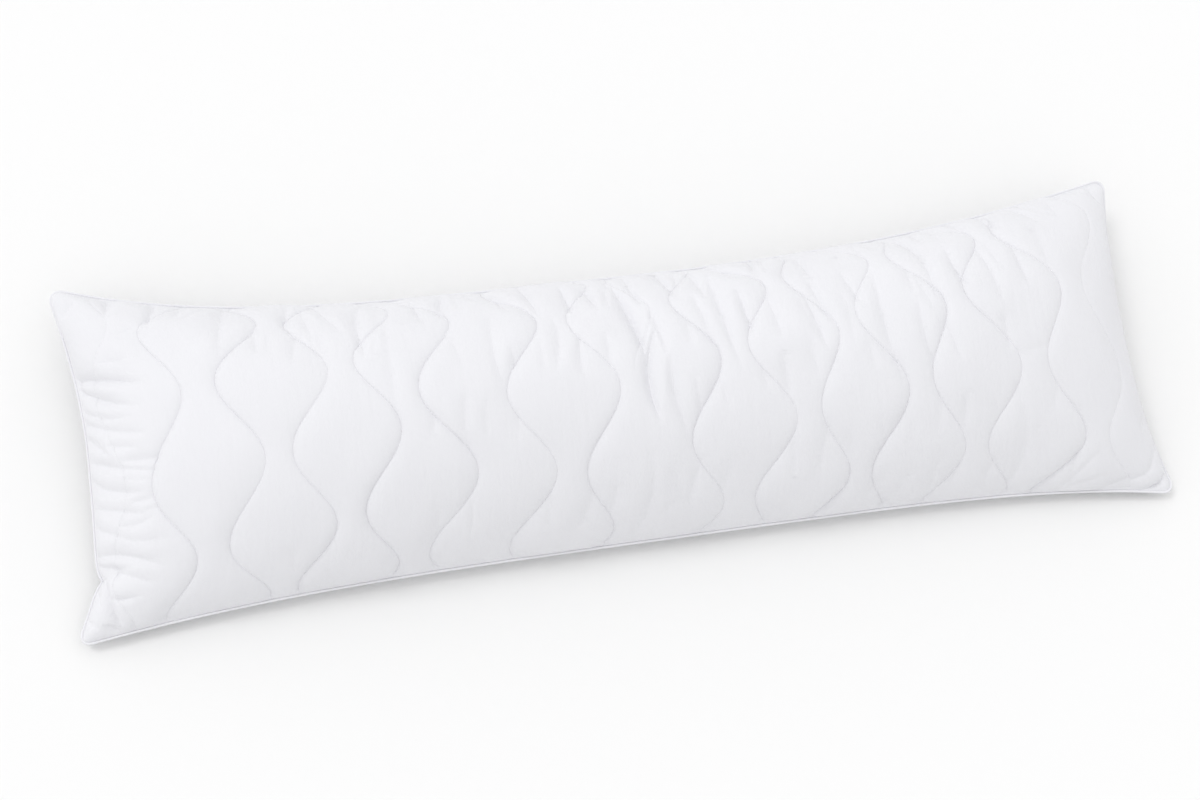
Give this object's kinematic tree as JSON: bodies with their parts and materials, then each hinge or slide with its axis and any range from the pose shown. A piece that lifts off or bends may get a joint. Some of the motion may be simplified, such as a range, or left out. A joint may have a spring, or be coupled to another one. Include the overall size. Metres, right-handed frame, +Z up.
{
  "type": "quilted body pillow",
  "caption": "Long filled body pillow lying on its back, with wavy stitched channels across its cover and thin piping sewn into the seam all round.",
  "frame": {"origin": "on the resting surface, under the middle of the pillow's box", "axes": "+X along the pillow to its right end, +Y to the far seam, +Z up"},
  "size_m": [1.5158, 0.4715, 0.2104],
  "materials": {
    "cover": "white brushed microfibre, quilted, matt with a faint sheen",
    "piping": "white woven cord piping, matt"
  },
  "bodies": {
    "root": {"pillow": "cover", "piping": "piping"}
  },
  "joints": []
}
